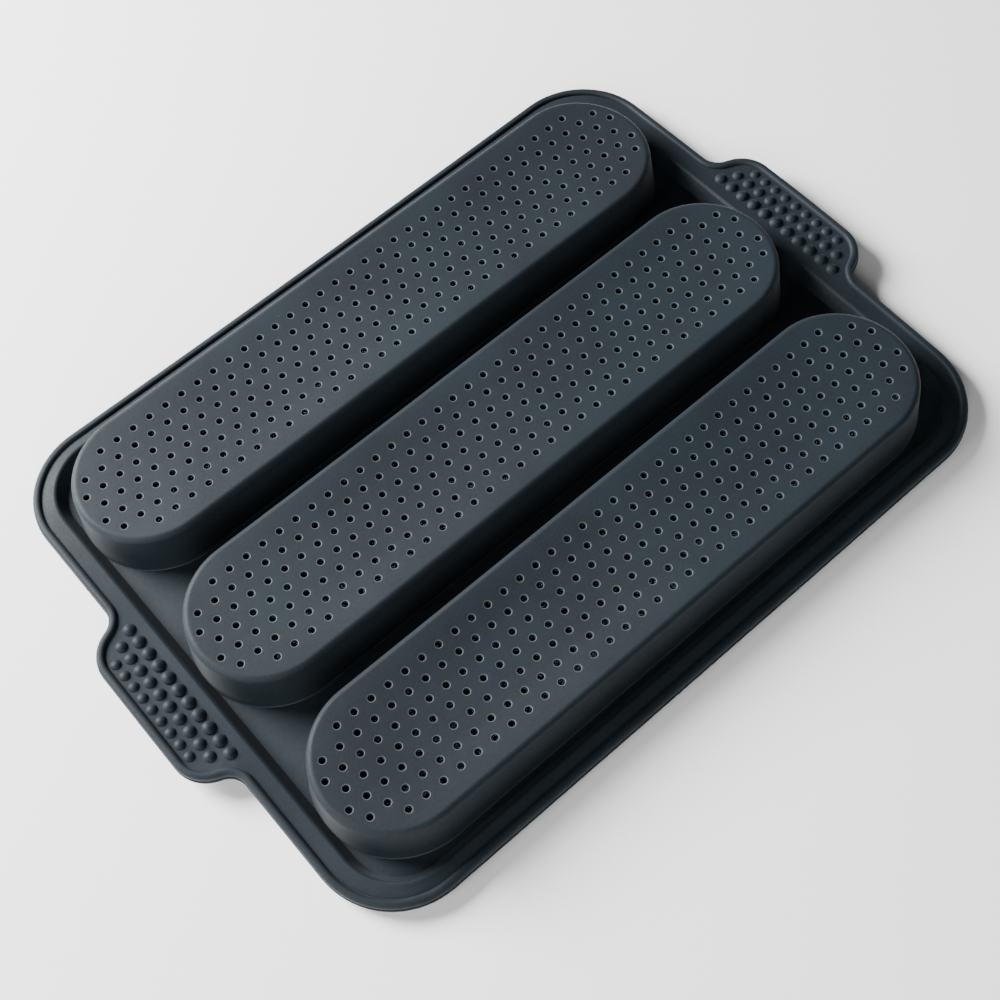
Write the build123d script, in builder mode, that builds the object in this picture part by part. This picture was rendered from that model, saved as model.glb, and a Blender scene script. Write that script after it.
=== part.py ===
from build123d import *
from math import atan, cos, floor, hypot, pi, radians, sqrt, tan
import os

# Silicone tray for three baguettes, lying with its wells upwards, as it is stored and washed.
# In use it is turned over and stands on the perforated floors of its wells.
# Millimetres. X runs along the wells, Y across them, +Z is up. The origin is on the surface that
# the deck lies on, below the middle of the tray.

# Wells: one for each loaf. Lengths and widths are outside sizes at the floor.
well_length = 310.8
well_width = 66.4
well_depth = 23.0  # from the deck's upper face to the outside of the floor
well_draft = 6.0  # degrees
well_gap = 11.2  # deck between two mouths
crown_radius = 3.0  # outside edge between wall and floor
ceiling_radius = 1.2  # the same edge, inside
wall_thickness = 1.8
floor_thickness = 1.8

# Seams between two regions of the moulding lie on flat ground, this far past a rounded edge.
seam_land = 0.5

# Perforation: holes on a lattice of equal triangles, rows along X.
hole_pitch = 8.5
hole_diameter = 2.6
hole_chamfer = 0.5
hole_clearance = 0.1  # between a chamfer and the seam round the floor

# Deck: the flat web that joins the mouths of the wells.
deck_thickness = 1.8
deck_side_margin = 2.65  # deck beyond the outermost mouths
deck_end_bite = 0.75  # how far the ends of the mouths run into the step round the deck
deck_corner_radius = 22.5

# Step and flange round the deck.
step_height = 6.2  # from the deck's upper face to the flange's
step_draft = 30.0  # degrees
shoulder_radius = 2.0
flange_thickness = 1.8
end_border = 14.9  # from the edge of the deck to the outside of the tray
side_border = 12.8
body_corner_radius = 36.4

# Bead along the whole edge, with a thin moulding lip at its foot and a steel wire inside.
bead_width = 4.1
bead_height = 4.5
bead_rise = 1.5  # above the flange
bead_round = 1.6
bead_crest = 0.3  # least flat left between its two round edges
lip_reach = 0.35
lip_height = 1.2
wire_diameter = 2.0

# Handles: a flat tab at each end.
handle_reach = 17.1
handle_root_width = 87.4
handle_tip_width = 73.1
handle_root_radius = 8.7
handle_tip_radius = 16.6
flank_land = 0.3  # least straight left on a flank between its two radii

# Grip studs in three columns: setback from the handle's tip, radius, pitch, distance from the
# handle's flank.
stud_columns = [
    (7.2, 2.28, 6.5, 13.2),
    (13.3, 2.48, 6.95, 10.5),
    (20.2, 2.74, 7.1, 9.2),
]
stud_fullness = 0.47  # height of a stud as a share of its radius

tiny = 0.01  # rounding allowed when corners are picked by their place

# Heights.
floor_top = deck_thickness + well_depth
floor_underside = floor_top - floor_thickness
flange_top = deck_thickness + step_height
flange_underside = flange_top - flange_thickness
bead_top = flange_top + bead_rise
bead_foot = bead_top - bead_height

# Half sizes in plan.
draft_run = well_depth * tan(radians(well_draft))
mouth_half_length = well_length / 2 + draft_run
mouth_half_width = well_width / 2 + draft_run
well_pitch = 2 * mouth_half_width + well_gap
deck_half_length = mouth_half_length - deck_end_bite
deck_half_width = well_pitch + mouth_half_width + deck_side_margin
body_half_length = deck_half_length + end_border
body_half_width = deck_half_width + side_border
tip_x = body_half_length + handle_reach
flank_fall = (handle_root_width - handle_tip_width) / 2
flank_slope = flank_fall / handle_reach

# Roundings, limited by the walls they lie on.
bead_edge_radius = min(bead_round, (bead_width - lip_reach - bead_crest) / 2)
flank_turn = pi / 2 - atan(flank_slope)
flank_room = (hypot(handle_reach, flank_fall) - flank_land) / tan(flank_turn / 2)
flank_share = min(1, flank_room / (handle_tip_radius + handle_root_radius))

# Insets between the faces of one skin, and from an edge to the nearest seam.
wall_inset = wall_thickness / cos(radians(well_draft))
step_outset = flange_thickness / cos(radians(step_draft))
hollow_outset = deck_thickness * tan(radians(well_draft)) - wall_inset
floor_inset = crown_radius * tan(radians(45 - well_draft / 2)) + seam_land
hole_margin = floor_inset + hole_diameter / 2 + hole_chamfer + hole_clearance
shoulder_run = step_height * tan(radians(step_draft)) + shoulder_radius * tan(radians(45 - step_draft / 2))
handle_seam_x = deck_half_length + shoulder_run + seam_land
handle_seam_y = handle_root_width / 2 + handle_root_radius

well_rows = {"rear": well_pitch, "middle": 0.0, "front": -well_pitch}


def stadium(z, outset, y):
    """The mouth's outline on the plane at height z, moved outwards by outset."""
    with BuildSketch(Plane.XY.offset(z)) as profile:
        with Locations((0, y)):
            SlotOverall(2 * (mouth_half_length + outset), 2 * (mouth_half_width + outset))
    return profile.sketch


def deck_outline(z, outset):
    """The deck's outline on the plane at height z, moved outwards by outset."""
    with BuildSketch(Plane.XY.offset(z)) as profile:
        RectangleRounded(
            2 * (deck_half_length + outset),
            2 * (deck_half_width + outset),
            deck_corner_radius + outset,
        )
    return profile.sketch


def tray_outline(z, inset):
    """The outline of the whole tray with its handles, at height z, moved inwards by inset."""
    with BuildSketch(Plane.XY.offset(z)) as profile:
        RectangleRounded(2 * body_half_length, 2 * body_half_width, body_corner_radius)
        for side in (1, -1):
            with BuildLine():
                Polyline(
                    (side * body_half_length, handle_root_width / 2),
                    (side * tip_x, handle_tip_width / 2),
                    (side * tip_x, -handle_tip_width / 2),
                    (side * body_half_length, -handle_root_width / 2),
                    close=True,
                )
            make_face()
        flanks = profile.vertices().filter_by(lambda v: abs(v.Y) < handle_seam_y)
        tips = flanks.filter_by(lambda v: abs(v.X) > (body_half_length + tip_x) / 2)
        fillet(tips, flank_share * handle_tip_radius)
        flanks = profile.vertices().filter_by(lambda v: abs(v.Y) < handle_seam_y)
        roots = flanks.filter_by(lambda v: abs(v.X) < body_half_length + tiny)
        fillet(roots, flank_share * handle_root_radius)
        if inset:
            offset(amount=-inset)
    return profile.sketch


def handle_window(z, side):
    """The rectangle inside which the flange belongs to a handle."""
    with BuildSketch(Plane.XY.offset(z)) as profile:
        with Locations((side * (handle_seam_x + tip_x) / 2, 0)):
            Rectangle(tip_x - handle_seam_x, 2 * handle_seam_y)
    return profile.sketch


def hole_centres():
    """Centres of the lattice that lie far enough inside the floor's edge."""
    end_centre = (well_length - well_width) / 2
    reach = well_width / 2 - hole_margin
    row_pitch = hole_pitch * sqrt(3) / 2
    rows = floor(reach / row_pitch)
    columns = floor((end_centre + reach) / hole_pitch)
    centres = []
    for row in range(-rows, rows + 1):
        for column in range(-columns - 1, columns + 1):
            x = (column + (row % 2) / 2) * hole_pitch
            y = row * row_pitch
            past_end = max(abs(x) - end_centre, 0)
            if past_end**2 + y**2 <= reach**2:
                centres.append((x, y))
    return centres


def save(piece, name):
    """Labels a finished piece and writes its STEP file."""
    piece.part.label = name
    export_step(piece.part, f"parts/{name}.step")


os.makedirs("parts", exist_ok=True)

# Well walls: a drafted ring from the underside of the deck to the crown, with a ledge that the
# floor meets.
for row, y in well_rows.items():
    with BuildPart() as well_wall:
        extrude(stadium(0, 0, y), amount=deck_thickness)
        extrude(stadium(deck_thickness, 0, y), amount=well_depth, taper=well_draft)
        fillet(well_wall.faces().sort_by(Axis.Z)[-1].edges(), crown_radius)
        extrude(stadium(0, hollow_outset, y), amount=floor_underside, taper=well_draft, mode=Mode.SUBTRACT)
        ceiling = well_wall.faces().filter_by(Plane.XY).sort_by(Axis.Z)[-2]
        fillet(ceiling.edges(), ceiling_radius)
        extrude(
            stadium(floor_underside, -draft_run - floor_inset, y),
            amount=floor_thickness,
            mode=Mode.SUBTRACT,
        )
    save(well_wall, f"well_wall_{row}")

# Well floors: flat panels with the perforation that lets steam out.
for row, y in well_rows.items():
    with BuildPart() as well_floor:
        with BuildSketch(Plane.XY.offset(floor_underside)):
            with Locations((0, y)):
                SlotOverall(well_length - 2 * floor_inset, well_width - 2 * floor_inset)
                with Locations(*hole_centres()):
                    Circle(hole_diameter / 2, mode=Mode.SUBTRACT)
        extrude(amount=floor_thickness)
        top_edges = well_floor.faces().sort_by(Axis.Z)[-1].edges().filter_by(GeomType.CIRCLE)
        chamfer(top_edges.filter_by(lambda e: e.radius < hole_diameter), hole_chamfer)
    save(well_floor, f"well_floor_{row}")

# Deck: the mouths reach the step at both ends, so the deck is four strips along the wells.
strip_names = ["deck_margin_front", "deck_web_front", "deck_web_rear", "deck_margin_rear"]
strip_edges = [-deck_half_width, -well_pitch, 0.0, well_pitch, deck_half_width]
for name, low, high in zip(strip_names, strip_edges, strip_edges[1:]):
    with BuildPart() as deck_strip:
        with BuildSketch():
            add(deck_outline(0, 0))
            with Locations((0, (low + high) / 2)):
                Rectangle(2 * deck_half_length, high - low, mode=Mode.INTERSECT)
            for y in well_rows.values():
                add(stadium(0, 0, y), mode=Mode.SUBTRACT)
        extrude(amount=deck_thickness)
    save(deck_strip, name)

# Flange: the step that rises from the deck, its round shoulder and the flat band outside it.
with BuildPart() as rim_flange:
    extrude(tray_outline(flange_underside, bead_width), amount=flange_thickness)
    for side in (1, -1):
        extrude(handle_window(flange_underside, side), amount=flange_thickness, mode=Mode.SUBTRACT)
    step_foot = step_outset - deck_thickness * tan(radians(step_draft))
    extrude(deck_outline(0, step_foot), amount=flange_underside, taper=-step_draft)
    extrude(deck_outline(0, 0), amount=deck_thickness, mode=Mode.SUBTRACT)
    extrude(
        deck_outline(deck_thickness, 0), amount=step_height, taper=-step_draft, mode=Mode.SUBTRACT
    )
    band = rim_flange.faces().filter_by(Plane.XY).sort_by(Axis.Z)[-1]
    fillet(band.inner_wires()[0].edges(), shoulder_radius)
    for y in well_rows.values():
        extrude(stadium(0, 0, y), amount=deck_thickness, mode=Mode.SUBTRACT)
        extrude(
            stadium(deck_thickness, 0, y), amount=well_depth, taper=well_draft, mode=Mode.SUBTRACT
        )
save(rim_flange, "rim_flange")

# Bead: a rounded border on the whole outline, with a thin lip at its foot.
wire_inset = (bead_width + lip_reach) / 2
wire_height = (bead_top + bead_foot) / 2
wire_path = tray_outline(wire_height, wire_inset).wire()
wire_start = Plane(origin=wire_path @ 0, z_dir=wire_path % 0)

with BuildPart() as rim_bead:
    extrude(tray_outline(bead_foot, lip_reach), amount=bead_height)
    extrude(tray_outline(bead_foot, bead_width), amount=bead_height, mode=Mode.SUBTRACT)
    fillet(rim_bead.faces().sort_by(Axis.Z)[-1].edges(), bead_edge_radius)
    with BuildSketch(Plane.XY.offset(bead_foot)):
        add(tray_outline(bead_foot, 0))
        add(tray_outline(bead_foot, bead_width), mode=Mode.SUBTRACT)
    extrude(amount=lip_height)
    with BuildSketch(wire_start):
        Circle(wire_diameter / 2)
    sweep(path=wire_path, mode=Mode.SUBTRACT)
save(rim_bead, "rim_bead")

# Wire: a closed steel ring moulded into the bead, which keeps the tray from sagging.
with BuildPart() as rim_wire:
    with BuildSketch(wire_start):
        Circle(wire_diameter / 2)
    sweep(path=wire_path)
save(rim_wire, "rim_wire")

# Handles and their grip studs.
for hand, side in {"right": 1, "left": -1}.items():
    with BuildPart() as handle:
        with BuildSketch(Plane.XY.offset(flange_underside)):
            add(tray_outline(flange_underside, bead_width))
            add(handle_window(flange_underside, side), mode=Mode.INTERSECT)
        extrude(amount=flange_thickness)
    save(handle, f"handle_{hand}")

    with BuildPart() as grip_studs:
        for setback, radius, pitch, margin in stud_columns:
            x = tip_x - setback
            half_span = handle_root_width / 2 - (x - body_half_length) * flank_slope - margin
            count = floor(2 * half_span / pitch) + 1
            height = stud_fullness * radius
            ball = (radius**2 + height**2) / (2 * height)
            with Locations((side * x, 0, flange_top + height - ball)):
                with GridLocations(0, pitch, 1, count):
                    Sphere(ball)
        split(bisect_by=Plane.XY.offset(flange_top), keep=Keep.TOP)
    save(grip_studs, f"grip_studs_{hand}")
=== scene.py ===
import math

import bmesh
import bpy
from mathutils import Matrix, Vector


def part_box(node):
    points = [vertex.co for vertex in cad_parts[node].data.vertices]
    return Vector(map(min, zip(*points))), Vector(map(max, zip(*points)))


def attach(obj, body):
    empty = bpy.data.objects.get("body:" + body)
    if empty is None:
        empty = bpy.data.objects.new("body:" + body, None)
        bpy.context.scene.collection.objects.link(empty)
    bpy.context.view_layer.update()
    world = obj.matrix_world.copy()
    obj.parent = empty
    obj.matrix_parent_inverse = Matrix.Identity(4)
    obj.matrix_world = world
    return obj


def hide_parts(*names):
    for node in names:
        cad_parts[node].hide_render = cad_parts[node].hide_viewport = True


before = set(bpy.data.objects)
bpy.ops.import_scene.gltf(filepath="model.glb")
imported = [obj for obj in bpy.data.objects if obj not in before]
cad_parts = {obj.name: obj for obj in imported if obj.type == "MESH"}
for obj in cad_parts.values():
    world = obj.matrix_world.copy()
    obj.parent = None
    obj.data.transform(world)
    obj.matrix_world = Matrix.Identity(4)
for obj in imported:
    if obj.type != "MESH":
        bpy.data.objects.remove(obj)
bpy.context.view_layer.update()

MM = 0.001
ROWS = ("rear", "middle", "front")
SMOOTH_BELOW = math.radians(42)  # edges sharper than this stay crisp

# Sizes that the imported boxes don't give.
SKIN = 1.8 * MM  # thickness of the silicone
WELL_DRAFT = math.radians(6)
CROWN_RADIUS = 3.0 * MM
HOLE_PITCH = 8.5 * MM
HOLE_RADIUS = 1.3 * MM
HOLE_EDGE = 0.5 * MM  # rounding of a hole's upper edge
HOLE_SIDES = 12
FLOOR_BORDER = 0.4 * MM  # flat left between the outermost cells and the rounded crown
HOLES_IN_ROW = {0: 35, 1: 36, 2: 35, 3: 32}  # by rows away from the middle of a well
FOOT_LINE = 0.4 * MM  # small flare where a wall leaves the deck, carrying a painted highlight
MOUTH_ROUND = 1.1 * MM
STEP_DRAFT = math.radians(30)
SHOULDER_RADIUS = 2.0 * MM
SHOULDER_LAND = 0.3 * MM  # flat left between the round shoulder and the band's seam
DECK_TUCK = 0.48 * MM  # how far the deck runs under the step
DECK_EDGE_ROUND = 1.3 * MM
BEAD_WIDTH = 4.1 * MM
BAND_TUCK = 0.15 * MM  # how far the flat band runs into the bead
BEAD_ROUND = 1.6 * MM
LIP_REACH = 0.35 * MM
LIP_HEIGHT = 1.2 * MM
LIP_ROUND = 0.15 * MM
WIRE_RADIUS = 1.0 * MM
BODY_CORNER = 36.4 * MM
DECK_CORNER = 22.5 * MM
HANDLE_REACH = 17.1 * MM
HANDLE_ROOT = 43.7 * MM  # half width where a handle leaves the body
HANDLE_TIP = 36.55 * MM
ROOT_RADIUS = 8.7 * MM
TIP_RADIUS = 16.6 * MM
STUD_COLUMNS = (  # setback from the tip, radius, pitch, count
    (7.2 * MM, 2.28 * MM, 6.5 * MM, 9),
    (13.3 * MM, 2.48 * MM, 6.95 * MM, 10),
    (20.2 * MM, 2.74 * MM, 7.1 * MM, 11),
)
STUD_FULLNESS = 0.47  # height of a stud as a share of its radius
STUD_SUNK = 0.3 * MM  # how far a stud runs into its handle
LONGEST_EDGE = 8 * MM  # longest piece of a straight outline, short enough to bend softly

# How the soft silicone hangs, in mm: floors below their walls at nine places from left to
# right, and the rim above or below its moulded level.
FLOOR_DIPS = {
    "rear": (0.1, 1.1, 2.2, 2.6, 2.1, 1.9, 2.7, 2.8, 2.1),
    "middle": (0.0, 1.5, 2.9, 3.2, 2.3, 2.0, 2.9, 3.1, 1.4),
    "front": (0.0, 2.1, 4.1, 4.7, 3.2, 2.7, 3.4, 2.8, 1.3),
}
DIP_ACROSS = (0.12, 0.75, 1.0, 0.75, 0.12)  # share of the dip, from wall to wall
SIDE_DROOP = 3.7  # middle of a long side
SIDE_RISE = 1.5  # how much of that is regained at its ends
LEFT_LIFT = 3.0  # middle of the left handle
RIGHT_LIFT = 1.8
CORNER_DROOP = 2.2
BEND_WIDTH = 10 * MM  # the rim starts to hang this far beyond the deck
SIDE_SPAN = 0.161  # from the middle to where a long side turns into its corner
END_SPAN = 0.123
CAGE_POINTS = (59, 61, 1)

# Levels and half sizes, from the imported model.
deck_low, deck_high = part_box("deck_margin_front")
rim_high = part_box("rim_flange")[1]
bead_low, bead_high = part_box("rim_bead")
DECK_TOP = deck_high.z
FLOOR_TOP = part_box("well_floor_middle")[1].z
FLANGE_TOP = rim_high.z
BEAD_FOOT = bead_low.z
BEAD_TOP = bead_high.z
DECK_X = deck_high.x
DECK_Y = -deck_low.y
BODY_X = rim_high.x + BEAD_WIDTH
BODY_Y = bead_high.y
TIP_X = bead_high.x


# ---- Handwork ----


def deselect_everything():
    if bpy.context.object and bpy.context.object.mode != "OBJECT":
        bpy.ops.object.mode_set(mode="OBJECT")
    bpy.ops.object.select_all(action="DESELECT")


def take(piece, *others):
    """Makes piece the active object, selected with others only."""
    deselect_everything()
    for one in (piece, *others):
        one.select_set(True)
    bpy.context.view_layer.objects.active = piece


def work_on(piece):
    """Opens piece in edit mode with nothing selected."""
    take(piece)
    bpy.ops.object.mode_set(mode="EDIT")
    bpy.ops.mesh.select_mode(type="VERT")
    bpy.ops.mesh.select_all(action="DESELECT")


def done():
    bpy.ops.object.mode_set(mode="OBJECT")


def pick(kind, test):
    """In edit mode, selects the "verts", "edges" or "faces" that pass test."""
    mode = {"verts": "VERT", "edges": "EDGE", "faces": "FACE"}[kind]
    bpy.ops.mesh.select_mode(type=mode)
    bpy.ops.mesh.select_all(action="DESELECT")
    mesh = bmesh.from_edit_mesh(bpy.context.edit_object.data)
    for part in getattr(mesh, kind):
        if test(part):
            part.select_set(True)
    mesh.select_flush_mode()
    bmesh.update_edit_mesh(bpy.context.edit_object.data)


def near(a, b, slack=0.02 * MM):
    return abs(a - b) < slack


def level(z):
    """A test for an edge or face that lies flat at height z."""
    return lambda part: all(near(v.co.z, z) for v in part.verts)


def open_edge(edge):
    return len(edge.link_faces) == 1


def big_face(face):
    return len(face.verts) > 12


def shape_with(piece, kind, **settings):
    """Gives piece a modifier and applies it."""
    take(piece)
    modifier = piece.modifiers.new(kind.lower(), kind)
    for name, value in settings.items():
        setattr(modifier, name, value)
    bpy.ops.object.modifier_apply(modifier=modifier.name)


def thicken(piece):
    """Turns a skin into a wall of the moulding's thickness, below or inside the skin."""
    shape_with(
        piece,
        "SOLIDIFY",
        thickness=SKIN,
        offset=-1,
        use_even_offset=True,
        use_quality_normals=True,
        use_rim=True,
    )


def face_outwards(piece):
    work_on(piece)
    bpy.ops.mesh.select_all(action="SELECT")
    bpy.ops.mesh.remove_doubles(threshold=0.002 * MM)
    bpy.ops.mesh.select_all(action="SELECT")
    bpy.ops.mesh.normals_make_consistent(inside=False)
    done()


def finish_piece(piece, name, materials, replaced):
    """Smooths and names a piece, gives it its materials and ties it to the frame."""
    piece.name = name
    piece.data.name = name
    take(piece)
    bpy.ops.object.transform_apply(location=True, rotation=True, scale=True)
    bpy.ops.object.shade_smooth_by_angle(angle=SMOOTH_BELOW)
    shape_with(piece, "WEIGHTED_NORMAL", keep_sharp=True)
    while len(piece.data.materials) < len(materials):
        piece.data.materials.append(None)
    for index, material in enumerate(materials):
        piece.data.materials[index] = material
    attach(piece, "root")
    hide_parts(*replaced)


# ---- Outlines ----


def flat_rectangle(half_x, half_y, z, y=0.0):
    """A flat rectangle, left open in edit mode."""
    deselect_everything()
    bpy.ops.mesh.primitive_plane_add(size=2, location=(0, y, z))
    plate = bpy.context.object
    plate.scale = (half_x, half_y, 1)
    bpy.ops.object.transform_apply(location=True, scale=True)
    work_on(plate)
    return plate


def drop_face():
    """Leaves only the outline of the open plate."""
    bpy.ops.mesh.select_mode(type="FACE")
    bpy.ops.mesh.select_all(action="SELECT")
    bpy.ops.mesh.delete(type="ONLY_FACE")


def keep_inner_outline(distance):
    """Leaves only the outline that runs at a distance within the open plate's own."""
    bpy.ops.mesh.inset(thickness=distance)
    bpy.ops.mesh.select_all(action="INVERT")
    bpy.ops.mesh.delete(type="FACE")
    bpy.ops.mesh.select_all(action="SELECT")
    bpy.ops.mesh.delete(type="ONLY_FACE")
    done()


def round_corners(test, tangent, steps, profile=0.5):
    """Rounds the corners that pass test; tangent is the length taken from each side."""
    pick("verts", test)
    bpy.ops.mesh.bevel(
        offset=tangent,
        offset_pct=0,
        segments=steps,
        profile=profile,
        affect="VERTICES",
        clamp_overlap=False,
    )


def divide_long_sides(longest):
    """Divides the straight sides of an open outline into lengths of at most longest."""
    while True:
        pick("edges", lambda e: e.calc_length() > longest)
        mesh = bmesh.from_edit_mesh(bpy.context.edit_object.data)
        lengths = [e.calc_length() for e in mesh.edges if e.select]
        if not lengths:
            break
        nearly = max(lengths)
        pick("edges", lambda e: near(e.calc_length(), nearly, 0.1 * MM))
        bpy.ops.mesh.subdivide(number_cuts=math.ceil(nearly / longest) - 1)


def close_outline():
    """Fills the open outline with one face that looks up."""
    bpy.ops.mesh.select_mode(type="EDGE")
    bpy.ops.mesh.select_all(action="SELECT")
    bpy.ops.mesh.edge_face_add()
    bpy.ops.mesh.select_all(action="SELECT")
    mesh = bmesh.from_edit_mesh(bpy.context.edit_object.data)
    mesh.normal_update()
    if any(f.normal.z < 0 for f in mesh.faces):
        bpy.ops.mesh.flip_normals()
    bpy.ops.mesh.select_mode(type="FACE")


def rounded_plate(half_x, half_y, corner, z, y=0.0, steps=14):
    """A flat plate with round corners, left open in edit mode."""
    plate = flat_rectangle(half_x, half_y, z, y)
    round_corners(lambda v: True, corner, steps)
    bpy.ops.mesh.select_all(action="SELECT")
    bpy.ops.mesh.remove_doubles(threshold=0.02 * MM)
    drop_face()
    divide_long_sides(LONGEST_EDGE)
    close_outline()
    return plate


def tray_plate(z):
    """The outline of the whole tray with its handles, as a flat plate open in edit mode."""
    plate = flat_rectangle(BODY_X, BODY_Y, z)
    for root in (HANDLE_ROOT, -HANDLE_ROOT):
        bpy.ops.mesh.select_all(action="SELECT")
        bpy.ops.mesh.bisect(plane_co=(0, root, z), plane_no=(0, 1, 0))
    for side in (1, -1):
        pick(
            "edges",
            lambda e: all(near(v.co.x, side * BODY_X) for v in e.verts)
            and all(abs(v.co.y) < HANDLE_ROOT + 0.1 * MM for v in e.verts),
        )
        bpy.ops.mesh.extrude_region_move(
            TRANSFORM_OT_translate={"value": (side * HANDLE_REACH, 0, 0)}
        )
        bpy.ops.transform.resize(
            value=(1, HANDLE_TIP / HANDLE_ROOT, 1),
            center_override=(side * TIP_X, 0, z),
        )
    bpy.ops.mesh.select_mode(type="FACE")
    bpy.ops.mesh.select_all(action="SELECT")
    bpy.ops.mesh.dissolve_faces()
    flank = math.hypot(HANDLE_REACH, HANDLE_ROOT - HANDLE_TIP)
    turn = math.acos((HANDLE_ROOT - HANDLE_TIP) / flank)
    round_corners(lambda v: near(abs(v.co.x), TIP_X), TIP_RADIUS * math.tan(turn / 2), 10, 0.53)
    round_corners(
        lambda v: near(abs(v.co.x), BODY_X) and near(abs(v.co.y), HANDLE_ROOT),
        ROOT_RADIUS * math.tan(turn / 2),
        8,
        0.53,
    )
    round_corners(lambda v: near(abs(v.co.y), BODY_Y), BODY_CORNER, 18)
    drop_face()
    divide_long_sides(LONGEST_EDGE)
    close_outline()
    return plate


# ---- Wells ----


def row_of_cells(count, y, z):
    """One row of six-sided cells, each with its hole, that fit together without gaps."""
    first = -(count - 1) / 2 * HOLE_PITCH
    centre = Vector((first, y, z))
    deselect_everything()
    bpy.ops.mesh.primitive_circle_add(
        vertices=HOLE_SIDES, radius=HOLE_PITCH / 2, fill_type="NGON", location=centre
    )
    cell = bpy.context.object
    bpy.ops.object.transform_apply(location=True)
    work_on(cell)
    bpy.ops.mesh.select_mode(type="FACE")
    bpy.ops.mesh.select_all(action="SELECT")
    bpy.ops.mesh.inset(thickness=HOLE_PITCH / 2 - HOLE_RADIUS, use_even_offset=False)
    bpy.ops.mesh.delete(type="FACE")

    def is_corner(vertex):
        arm = vertex.co - centre
        sixths = (math.degrees(math.atan2(arm.y, arm.x)) - 30) / 60
        return arm.length > HOLE_PITCH / 3 and abs(sixths - round(sixths)) < 0.1

    pick("verts", is_corner)
    bpy.ops.transform.resize(
        value=(2 / math.sqrt(3), 2 / math.sqrt(3), 1), center_override=centre
    )
    done()
    shape_with(
        cell,
        "ARRAY",
        count=count,
        use_relative_offset=False,
        use_constant_offset=True,
        constant_offset_displace=(HOLE_PITCH, 0, 0),
    )
    return cell


def past_centre_line(point, half_x, half_y, y):
    """How far a point is from the straight line that the ends of a well turn round."""
    return math.hypot(max(abs(point.x) - (half_x - half_y), 0), point.y - y)


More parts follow.
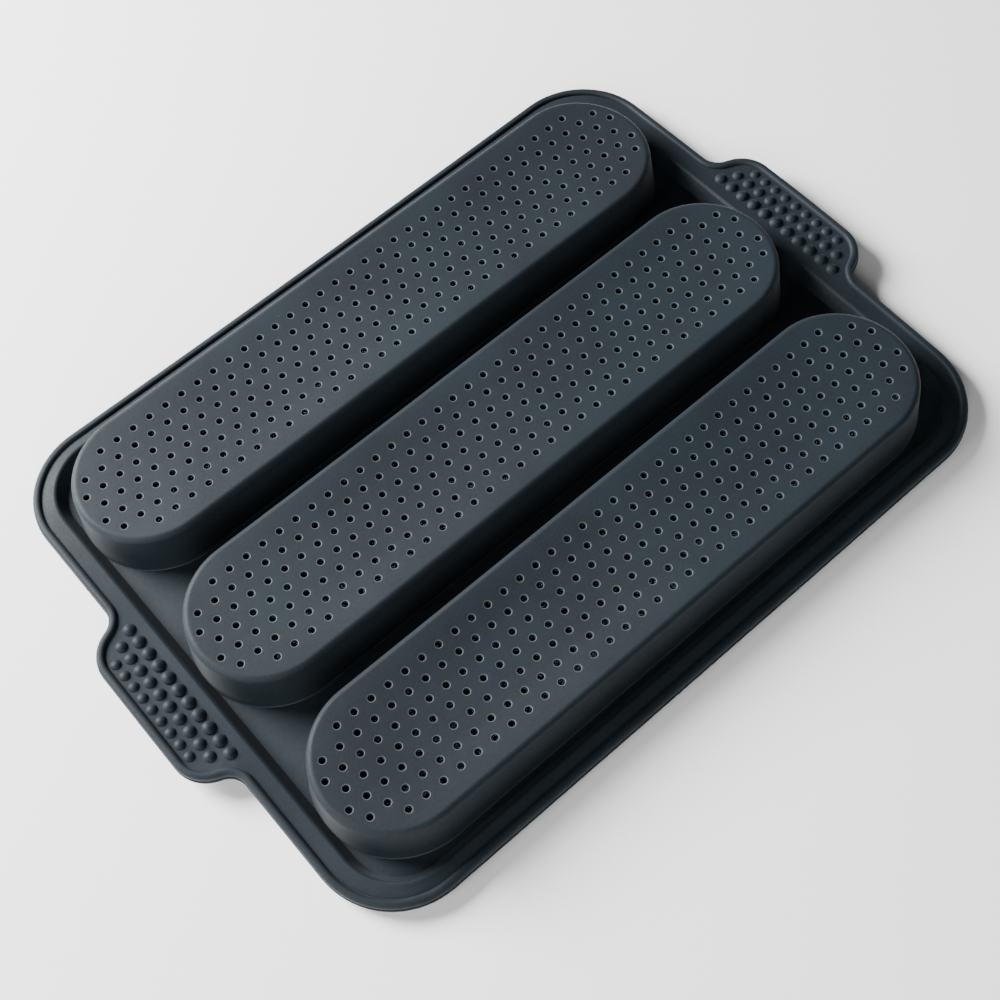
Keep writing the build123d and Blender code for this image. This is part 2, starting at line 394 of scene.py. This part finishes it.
def make_well(row):
    wall_low, wall_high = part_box(f"well_wall_{row}")
    y = (wall_low.y + wall_high.y) / 2
    half_x = wall_high.x
    half_y = (wall_high.y - wall_low.y) / 2
    height = FLOOR_TOP - DECK_TOP
    run = height * math.tan(WELL_DRAFT)
    crown = CROWN_RADIUS * math.tan(math.radians(45) - WELL_DRAFT / 2)
    flat_reach = half_y - run - crown  # from the centre line to the edge of the flat floor

    # The outside, from the foot line up to the edge of the flat floor.
    foot_x, foot_y = half_x + FOOT_LINE, half_y + FOOT_LINE
    well = rounded_plate(foot_x, foot_y, foot_y, DECK_TOP, y, steps=22)
    bpy.ops.mesh.inset(thickness=FOOT_LINE + FOOT_LINE * math.tan(WELL_DRAFT), depth=FOOT_LINE)
    rest = height - FOOT_LINE
    bpy.ops.mesh.inset(thickness=rest * math.tan(WELL_DRAFT), depth=rest)
    pick("edges", level(FLOOR_TOP))
    bpy.ops.mesh.bevel(offset=crown, offset_type="OFFSET", segments=7, profile=0.5)
    pick("faces", lambda f: big_face(f) and f.normal.z > 0.99)
    bpy.ops.mesh.delete(type="FACE")
    pick("edges", lambda e: open_edge(e) and level(DECK_TOP)(e))
    bpy.ops.mesh.extrude_region_move(TRANSFORM_OT_translate={"value": (0, 0, -DECK_TOP)})
    done()

    # The perforated floor, built from rows of cells.
    row_pitch = HOLE_PITCH * math.sqrt(3) / 2
    cells = [
        row_of_cells(HOLES_IN_ROW[abs(n)], y + n * row_pitch, FLOOR_TOP) for n in range(-3, 4)
    ]
    take(cells[0], *cells[1:])
    bpy.ops.object.join()
    floor = bpy.context.object
    work_on(floor)
    bpy.ops.mesh.select_all(action="SELECT")
    bpy.ops.mesh.remove_doubles(threshold=0.005 * MM)
    limit = flat_reach - FLOOR_BORDER
    mesh = bmesh.from_edit_mesh(floor.data)
    outside = [
        v.co.copy() for v in mesh.verts if past_centre_line(v.co, half_x, half_y, y) > limit
    ]
    for place in outside:
        pick("verts", lambda v: (v.co - place).length < 0.01 * MM)
        pull = limit / past_centre_line(place, half_x, half_y, y)
        turning = (math.copysign(half_x - half_y, place.x), y, FLOOR_TOP)
        bpy.ops.transform.resize(value=(pull, pull, 1), center_override=turning)
    done()
    take(well, floor)
    bpy.ops.object.join()
    work_on(well)

    def from_hole(point):
        """The distance from a point to the middle of the nearest hole."""
        n = max(min(round((point.y - y) / row_pitch), 3), -3)
        last = (HOLES_IN_ROW[abs(n)] - 1) / 2 * HOLE_PITCH
        x = min(round((point.x + last) / HOLE_PITCH) * HOLE_PITCH - last, last)
        return math.hypot(point.x - max(x, -last), point.y - y - n * row_pitch)

    def beside_a_hole(edge):
        return from_hole((edge.verts[0].co + edge.verts[1].co) / 2) < HOLE_RADIUS * 1.1

    pick(
        "edges",
        lambda e: open_edge(e) and level(FLOOR_TOP)(e) and not beside_a_hole(e),
    )
    bpy.ops.mesh.fill(use_beauty=True)
    face_outwards(well)
    thicken(well)

    # Rounded upper edges of the holes, and the rounded edge of the mouth.
    well.data.materials.append(silicone)
    well.data.materials.append(hole_rim_highlight)
    well.data.materials.append(foot_highlight)
    work_on(well)
    pick(
        "edges",
        lambda e: level(FLOOR_TOP)(e)
        and min(abs(f.normal.z) for f in e.link_faces) < 0.5
        and beside_a_hole(e),
    )
    bpy.ops.mesh.bevel(offset=HOLE_EDGE, segments=3, profile=0.5)
    # The flat top of each hole's rounding gets a lighter silicone: a painted highlight, a
    # bright ring round every hole.
    well.active_material_index = 1
    pick(
        "faces",
        lambda f: f.normal.z > 0.8
        and f.calc_center_median().z > FLOOR_TOP - HOLE_EDGE
        and from_hole(f.calc_center_median()) < HOLE_RADIUS + HOLE_EDGE,
    )
    bpy.ops.object.material_slot_assign()
    # The flare at each wall's foot gets a lighter silicone: a painted highlight, a fine light
    # line round the foot of every wall.
    well.active_material_index = 2
    pick(
        "faces",
        lambda f: 0.4 < f.normal.z < 0.9
        and DECK_TOP < f.calc_center_median().z < DECK_TOP + FOOT_LINE,
    )
    bpy.ops.object.material_slot_assign()
    pick(
        "edges",
        lambda e: level(0)(e)
        and past_centre_line((e.verts[0].co + e.verts[1].co) / 2, half_x, half_y, y)
        < half_y - SKIN / 2
    )
    bpy.ops.mesh.bevel(offset=MOUTH_ROUND, segments=4, profile=0.5)
    done()
    return well


# ---- Rim ----


def on_deck_edge(edge):
    """Whether an edge lies on the outside of the deck, not round a mouth."""
    middle = (edge.verts[0].co + edge.verts[1].co) / 2
    corner_x = max(abs(middle.x) - (DECK_X - DECK_CORNER), 0)
    corner_y = max(abs(middle.y) - (DECK_Y - DECK_CORNER), 0)
    return (
        math.hypot(corner_x, corner_y) > DECK_CORNER + 1.2 * MM
        and max(abs(f.normal.x) + abs(f.normal.y) for f in edge.link_faces) > 0.5
    )


def make_deck():
    """The flat web round the mouths, one plate with three openings."""
    foot = SKIN / math.cos(STEP_DRAFT) - SKIN * math.tan(STEP_DRAFT)
    reach = foot + DECK_TUCK
    deck = rounded_plate(DECK_X + reach, DECK_Y + reach, DECK_CORNER + foot, DECK_TOP)
    bpy.ops.mesh.delete(type="ONLY_FACE")
    done()
    mouths = []
    for row in ROWS:
        low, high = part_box(f"well_wall_{row}")
        half_y = (high.y - low.y) / 2 + FOOT_LINE
        mouth = rounded_plate(
            high.x + FOOT_LINE, half_y, half_y, DECK_TOP, (low.y + high.y) / 2, steps=22
        )
        bpy.ops.mesh.delete(type="ONLY_FACE")
        done()
        mouths.append(mouth)
    take(deck, *mouths)
    bpy.ops.object.join()
    work_on(deck)
    bpy.ops.mesh.select_all(action="SELECT")
    bpy.ops.mesh.fill(use_beauty=True)
    face_up()
    thicken(deck)
    work_on(deck)
    pick("edges", lambda e: level(0)(e) and on_deck_edge(e))
    bpy.ops.mesh.bevel(offset=DECK_EDGE_ROUND, segments=4, profile=0.5)
    done()
    return deck


def face_up():
    """Turns the faces of the sheet that is open in edit mode upwards."""
    pick("faces", lambda f: f.normal.z < 0)
    bpy.ops.mesh.flip_normals()
    done()


def make_flange():
    """The step, its soft shoulder and the flat band with the two handles."""
    rise = FLANGE_TOP - DECK_TOP
    run = rise * math.tan(STEP_DRAFT)
    shoulder = SHOULDER_RADIUS * math.tan(math.radians(45) - STEP_DRAFT / 2)
    reach = run + shoulder + SHOULDER_LAND
    step = rounded_plate(DECK_X + reach, DECK_Y + reach, DECK_CORNER + reach, FLANGE_TOP)
    bpy.ops.mesh.inset(thickness=shoulder + SHOULDER_LAND)
    bpy.ops.mesh.inset(thickness=run, depth=-rise)
    bpy.ops.mesh.delete(type="FACE")
    pick(
        "edges",
        lambda e: level(FLANGE_TOP)(e) and any(abs(f.normal.z) < 0.9 for f in e.link_faces),
    )
    bpy.ops.mesh.bevel(offset=shoulder, offset_type="OFFSET", segments=8, profile=0.5)
    done()
    band = tray_plate(FLANGE_TOP)
    keep_inner_outline(BEAD_WIDTH - BAND_TUCK)
    take(step, band)
    bpy.ops.object.join()
    work_on(step)
    pick("edges", lambda e: level(FLANGE_TOP)(e) and len(e.link_faces) < 2)
    bpy.ops.mesh.fill(use_beauty=True)
    face_up()
    thicken(step)
    return step


def on_lip(face):
    """Whether a face is the upright side of the bead's thin lip."""
    rise = abs(face.calc_center_median().z - BEAD_FOOT)
    return abs(face.normal.z) < 0.1 and rise < LIP_HEIGHT


def make_bead():
    """The rounded border on the whole outline, with its thin lip."""
    bead = tray_plate(BEAD_FOOT)
    height = BEAD_TOP - BEAD_FOOT
    bpy.ops.mesh.extrude_region_move(TRANSFORM_OT_translate={"value": (0, 0, LIP_HEIGHT)})
    bpy.ops.mesh.inset(thickness=LIP_REACH)
    bpy.ops.mesh.extrude_region_move(
        TRANSFORM_OT_translate={"value": (0, 0, height - LIP_HEIGHT)}
    )
    bpy.ops.mesh.inset(thickness=BEAD_WIDTH - LIP_REACH)
    bpy.ops.mesh.extrude_region_move(TRANSFORM_OT_translate={"value": (0, 0, -height)})
    bpy.ops.mesh.delete(type="FACE")
    pick("faces", lambda f: big_face(f) and level(BEAD_FOOT)(f))
    bpy.ops.mesh.delete(type="ONLY_FACE")
    pick("edges", lambda e: level(BEAD_FOOT)(e))
    bpy.ops.mesh.bridge_edge_loops()
    done()
    face_outwards(bead)
    work_on(bead)
    pick(
        "edges",
        lambda e: level(BEAD_TOP)(e) and any(abs(f.normal.z) < 0.5 for f in e.link_faces),
    )
    bpy.ops.mesh.bevel(offset=BEAD_ROUND, segments=6, profile=0.5)
    pick(
        "edges",
        lambda e: level(BEAD_FOOT + LIP_HEIGHT)(e)
        and any(f.normal.z > 0.9 for f in e.link_faces)
        and any(on_lip(f) for f in e.link_faces),
    )
    bpy.ops.mesh.bevel(offset=LIP_ROUND, segments=2, profile=0.5)
    done()
    return bead


def make_wire():
    """The steel ring inside the bead."""
    wire = tray_plate((BEAD_TOP + BEAD_FOOT) / 2)
    keep_inner_outline((BEAD_WIDTH + LIP_REACH) / 2)
    take(wire)
    bpy.ops.object.convert(target="CURVE")
    wire = bpy.context.object
    wire.data.bevel_depth = WIRE_RADIUS
    wire.data.bevel_resolution = 2
    bpy.ops.object.convert(target="MESH")
    wire = bpy.context.object
    face_outwards(wire)
    return wire


def make_studs(side):
    """Three columns of grip studs on one handle."""
    columns = []
    for setback, radius, pitch, count in STUD_COLUMNS:
        rise = STUD_FULLNESS * radius
        ball = (radius**2 + rise**2) / (2 * rise)
        centre = (side * (TIP_X - setback), -(count - 1) / 2 * pitch, FLANGE_TOP + rise - ball)
        deselect_everything()
        bpy.ops.mesh.primitive_uv_sphere_add(
            segments=20, ring_count=18, radius=ball, location=centre
        )
        stud = bpy.context.object
        bpy.ops.object.transform_apply(location=True)
        work_on(stud)
        bpy.ops.mesh.select_all(action="SELECT")
        bpy.ops.mesh.bisect(
            plane_co=(0, 0, FLANGE_TOP - STUD_SUNK),
            plane_no=(0, 0, 1),
            clear_inner=True,
            use_fill=True,
        )
        done()
        shape_with(
            stud,
            "ARRAY",
            count=count,
            use_relative_offset=False,
            use_constant_offset=True,
            constant_offset_displace=(0, pitch, 0),
        )
        columns.append(stud)
    take(columns[0], *columns[1:])
    bpy.ops.object.join()
    studs = bpy.context.object
    face_outwards(studs)
    return studs


# ---- Sag ----


def rim_droop(x, y):
    """How far the soft rim hangs down or lifts at a place, in metres."""
    corner_x = max(abs(x) - (DECK_X - DECK_CORNER), 0)
    corner_y = max(abs(y) - (DECK_Y - DECK_CORNER), 0)
    away = math.hypot(corner_x, corner_y) - DECK_CORNER
    share = min(max(away / BEND_WIDTH, 0), 1)
    if share == 0:
        return 0.0
    along_side = -SIDE_DROOP + SIDE_RISE * (abs(x) / SIDE_SPAN) ** 2
    lift = LEFT_LIFT if x < 0 else RIGHT_LIFT
    along_end = lift - (lift + CORNER_DROOP) * (abs(y) / END_SPAN) ** 1.5
    end_weight = corner_x / (corner_x + corner_y)
    return MM * share * (along_side * (1 - end_weight) + along_end * end_weight)


def make_rim_cage():
    """A lattice round the whole rim that hangs its long sides down and lifts its handles."""
    deselect_everything()
    bpy.ops.object.add(type="LATTICE", location=(0, 0, BEAD_TOP / 2))
    cage = bpy.context.object
    cage.scale = (2 * TIP_X, 2 * BODY_Y, 2 * BEAD_TOP)
    data = cage.data
    data.points_u, data.points_v, data.points_w = CAGE_POINTS
    data.interpolation_type_u = data.interpolation_type_v = "KEY_LINEAR"
    for point in data.points:
        drop = rim_droop(point.co.x * 2 * TIP_X, point.co.y * 2 * BODY_Y)
        point.co_deform.z += drop / (2 * BEAD_TOP)
    bpy.context.view_layer.update()
    return cage


def sag_well(well, row):
    """Lets the thin floor of a well sag between its walls."""
    low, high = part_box(f"well_wall_{row}")
    dips, across = FLOOR_DIPS[row], DIP_ACROSS
    deselect_everything()
    middle = ((low.x + high.x) / 2, (low.y + high.y) / 2, (DECK_TOP + FLOOR_TOP) / 2)
    bpy.ops.object.add(type="LATTICE", location=middle)
    cage = bpy.context.object
    size = (high.x - low.x, high.y - low.y, FLOOR_TOP - DECK_TOP)
    cage.scale = size
    data = cage.data
    data.points_u, data.points_v, data.points_w = len(dips), len(across), 2
    data.interpolation_type_u = data.interpolation_type_v = "KEY_CARDINAL"
    data.interpolation_type_w = "KEY_LINEAR"
    for index, point in enumerate(data.points):
        u, v = index % len(dips), index // len(dips) % len(across)
        if index >= len(dips) * len(across):
            point.co_deform.z -= dips[u] * across[v] * MM / size[2]
    bpy.context.view_layer.update()
    shape_with(well, "LATTICE", object=cage)
    take(cage)
    bpy.ops.object.delete()


# ---- Materials ----


def colour(code):
    """The linear colour for an sRGB hex code."""
    shares = [int(code[i : i + 2], 16) / 255 for i in (1, 3, 5)]
    linear = [s / 12.92 if s <= 0.04045 else ((s + 0.055) / 1.055) ** 2.4 for s in shares]
    return (*linear, 1)


def add_node(tree, kind, settings=None, **inputs):
    """Adds a node; an input is a value or an output to link, and i0 is the first socket."""
    node = tree.nodes.new(kind)
    for name, value in (settings or {}).items():
        setattr(node, name, value)
    for name, value in inputs.items():
        numbered = name[0] == "i" and name[1:].isdigit()
        socket = node.inputs[int(name[1:]) if numbered else name.replace("_", " ")]
        if isinstance(value, bpy.types.NodeSocket):
            tree.links.new(value, socket)
        else:
            socket.default_value = value
    return node


def new_material(name):
    material = bpy.data.materials.new(name)
    material.use_nodes = True
    material.node_tree.nodes.clear()
    return material, material.node_tree


def blend(tree, share, low, high):
    """A colour between low and high, by share."""
    settings = {"data_type": "RGBA", "clamp_factor": True}
    return add_node(tree, "ShaderNodeMix", settings, i0=share, i6=low, i7=high).outputs[2]


def spread(tree, value, low, high, to_low, to_high):
    """Takes value from the range low to high to the range to_low to to_high."""
    return add_node(
        tree,
        "ShaderNodeMapRange",
        Value=value,
        From_Min=low,
        From_Max=high,
        To_Min=to_low,
        To_Max=to_high,
    ).outputs["Result"]


def moulded_silicone(name, dark, light, specular=0.3):
    """Platinum silicone pressed in a blasted steel mould: slate, matt and soft to the eye.

    Broad clouds are uneven pigment and handling, the mottle is the mould's blasted grain, and
    the specks are dust that silicone always draws.
    """
    material, tree = new_material(name)
    place = add_node(tree, "ShaderNodeTexCoord").outputs["Object"]

    # Clouds about 45 mm across, and a mottle about 1 mm across.
    clouds = add_node(
        tree, "ShaderNodeTexNoise", Vector=place, Scale=22.0, Detail=3.0, Roughness=0.55
    ).outputs["Fac"]
    mottle = add_node(
        tree, "ShaderNodeTexNoise", Vector=place, Scale=900.0, Detail=3.0, Roughness=0.7
    ).outputs["Fac"]
    tone = add_node(
        tree, "ShaderNodeMath", {"operation": "MULTIPLY_ADD"}, i0=mottle, i1=0.8, i2=clouds
    ).outputs[0]
    base = blend(tree, spread(tree, tone, 0.65, 1.15, 0, 1), colour(dark), colour(light))

    # Dust: specks about 0.3 mm across, one in a cell of about 9 mm, in the dustier clouds only.
    cells = add_node(tree, "ShaderNodeTexVoronoi", Vector=place, Scale=115.0, Randomness=1.0)
    speck = spread(tree, cells.outputs["Distance"], 0.012, 0.02, 1, 0)
    dusty = spread(tree, clouds, 0.5, 0.56, 0, 0.5)
    dust = add_node(tree, "ShaderNodeMath", {"operation": "MULTIPLY"}, i0=speck, i1=dusty)
    base = blend(tree, dust.outputs[0], base, colour("#8a9296"))

    # Grain: the mould is blasted at 0.3 mm, drawn here at 0.8 mm so that it shows.
    grain = add_node(
        tree, "ShaderNodeTexNoise", Vector=place, Scale=1250.0, Detail=2.0, Roughness=0.7
    ).outputs["Fac"]
    bump = add_node(tree, "ShaderNodeBump", Strength=0.45, Distance=0.0001, Height=grain)

    shader = add_node(
        tree,
        "ShaderNodeBsdfPrincipled",
        Base_Color=base,
        Roughness=spread(tree, tone, 0.65, 1.15, 0.66, 0.54),
        IOR=1.41,
        Specular_IOR_Level=specular,
        Sheen_Weight=0.06,
        Sheen_Roughness=0.4,
        Normal=bump.outputs["Normal"],
    )
    add_node(tree, "ShaderNodeOutputMaterial", Surface=shader.outputs["BSDF"])
    return material


def drawn_steel():
    """Stainless wire drawn through a die: bright, with a faint mottle about 1 mm across.

    The real drawing marks are too fine to show, so the mottle stands for them.
    """
    material, tree = new_material("drawn_stainless_wire")
    place = add_node(tree, "ShaderNodeTexCoord").outputs["Object"]
    marks = add_node(
        tree, "ShaderNodeTexNoise", Vector=place, Scale=900.0, Detail=2.0, Roughness=0.6
    ).outputs["Fac"]
    shader = add_node(
        tree,
        "ShaderNodeBsdfPrincipled",
        Base_Color=blend(tree, marks, colour("#a9a7a2"), colour("#c4c2bd")),
        Metallic=1.0,
        Roughness=spread(tree, marks, 0.3, 0.7, 0.28, 0.42),
    )
    add_node(tree, "ShaderNodeOutputMaterial", Surface=shader.outputs["BSDF"])
    return material


# ---- Making ----

silicone = moulded_silicone("moulded_silicone", "#12181d", "#1b242a", 0.25)
# Lighter silicone for the flare at the foot of the walls: a painted highlight.
foot_highlight = moulded_silicone("painted_highlight_wall_foot", "#232b31", "#2d353b", 0.3)
# Lighter silicone for the hole rims: a painted highlight, not a different material or wear.
hole_rim_highlight = moulded_silicone("painted_highlight_hole_rim", "#3f484e", "#4b555b", 0.4)
steel = drawn_steel()

for row in ROWS:
    well = make_well(row)
    sag_well(well, row)
    finish_piece(
        well,
        f"well_{row}",
        [silicone, hole_rim_highlight, foot_highlight],
        [f"well_wall_{row}", f"well_floor_{row}"],
    )

deck = make_deck()
finish_piece(
    deck,
    "deck",
    [silicone],
    ["deck_margin_front", "deck_margin_rear", "deck_web_front", "deck_web_rear"],
)

cage = make_rim_cage()
rim_pieces = [
    (
        make_flange(),
        "flange_with_handles",
        [silicone],
        ["rim_flange", "handle_left", "handle_right"],
        "silicone",
    ),
    (make_bead(), "bead", [silicone], ["rim_bead"], "silicone"),
    (make_wire(), "edge_wire", [steel], ["rim_wire"], "steel_wire"),
    (make_studs(-1), "studs_left", [silicone], ["grip_studs_left"], "silicone"),
    (make_studs(1), "studs_right", [silicone], ["grip_studs_right"], "silicone"),
]
for piece, name, materials, replaced, slot in rim_pieces:
    shape_with(piece, "LATTICE", object=cage)
    finish_piece(piece, name, materials, replaced)
take(cage)
bpy.ops.object.delete()


# ---- Stage ----


CAMERA_PLACE = Vector((-0.18359, -0.27661, 0.58851))
CAMERA_TARGET = Vector((-0.01816, -0.02375, 0.012))
CAMERA_ROLL = math.radians(-8.487)
CAMERA_LENS = 55.84  # mm
CAMERA_SENSOR = 36  # mm
FLOOR_SIZE = 6
FLOOR_LEVEL = -0.5 * MM  # just below the deck, so that the two don't flicker
WORLD_STRENGTH = 0.05


def aimed(place, target):
    """The matrix of a camera or light at place that looks at target."""
    turn = (target - place).to_track_quat("-Z", "Y").to_matrix().to_4x4()
    return Matrix.Translation(place) @ turn


def add_camera():
    data = bpy.data.cameras.new("camera")
    data.sensor_width = CAMERA_SENSOR
    data.lens = CAMERA_LENS
    camera = bpy.data.objects.new("camera", data)
    bpy.context.collection.objects.link(camera)
    roll = Matrix.Rotation(CAMERA_ROLL, 4, "Z")
    camera.matrix_world = aimed(CAMERA_PLACE, CAMERA_TARGET) @ roll
    bpy.context.scene.camera = camera


def add_floor():
    deselect_everything()
    bpy.ops.mesh.primitive_plane_add(size=FLOOR_SIZE, location=(0, 0, FLOOR_LEVEL))
    floor = bpy.context.object
    floor.name = "studio_floor"
    material, tree = new_material("studio_paper")
    shader = add_node(
        tree, "ShaderNodeBsdfPrincipled", Base_Color=(0.95, 0.95, 0.95, 1), Roughness=0.9
    )
    add_node(tree, "ShaderNodeOutputMaterial", Surface=shader.outputs["BSDF"])
    floor.data.materials.append(material)


def add_light(name, place, size, energy):
    """A round soft light that looks at the middle of the tray."""
    data = bpy.data.lights.new(name, "AREA")
    data.shape = "DISK"
    data.size = size
    data.energy = energy
    light = bpy.data.objects.new(name, data)
    bpy.context.collection.objects.link(light)
    light.matrix_world = aimed(Vector(place), Vector((0, 0, 0)))


add_camera()
add_floor()
add_light("key_light", (-0.62, 1.22, 0.8), 0.85, 128)
add_light("side_light", (-1.3, 0.0, 0.6), 0.6, 10)
add_light("front_fill", (-0.9, -1.05, 0.75), 1.0, 17)
world = bpy.data.worlds.new("studio")
world.use_nodes = True
world.node_tree.nodes["Background"].inputs["Color"].default_value = (1, 1, 1, 1)
world.node_tree.nodes["Background"].inputs["Strength"].default_value = WORLD_STRENGTH
bpy.context.scene.world = world
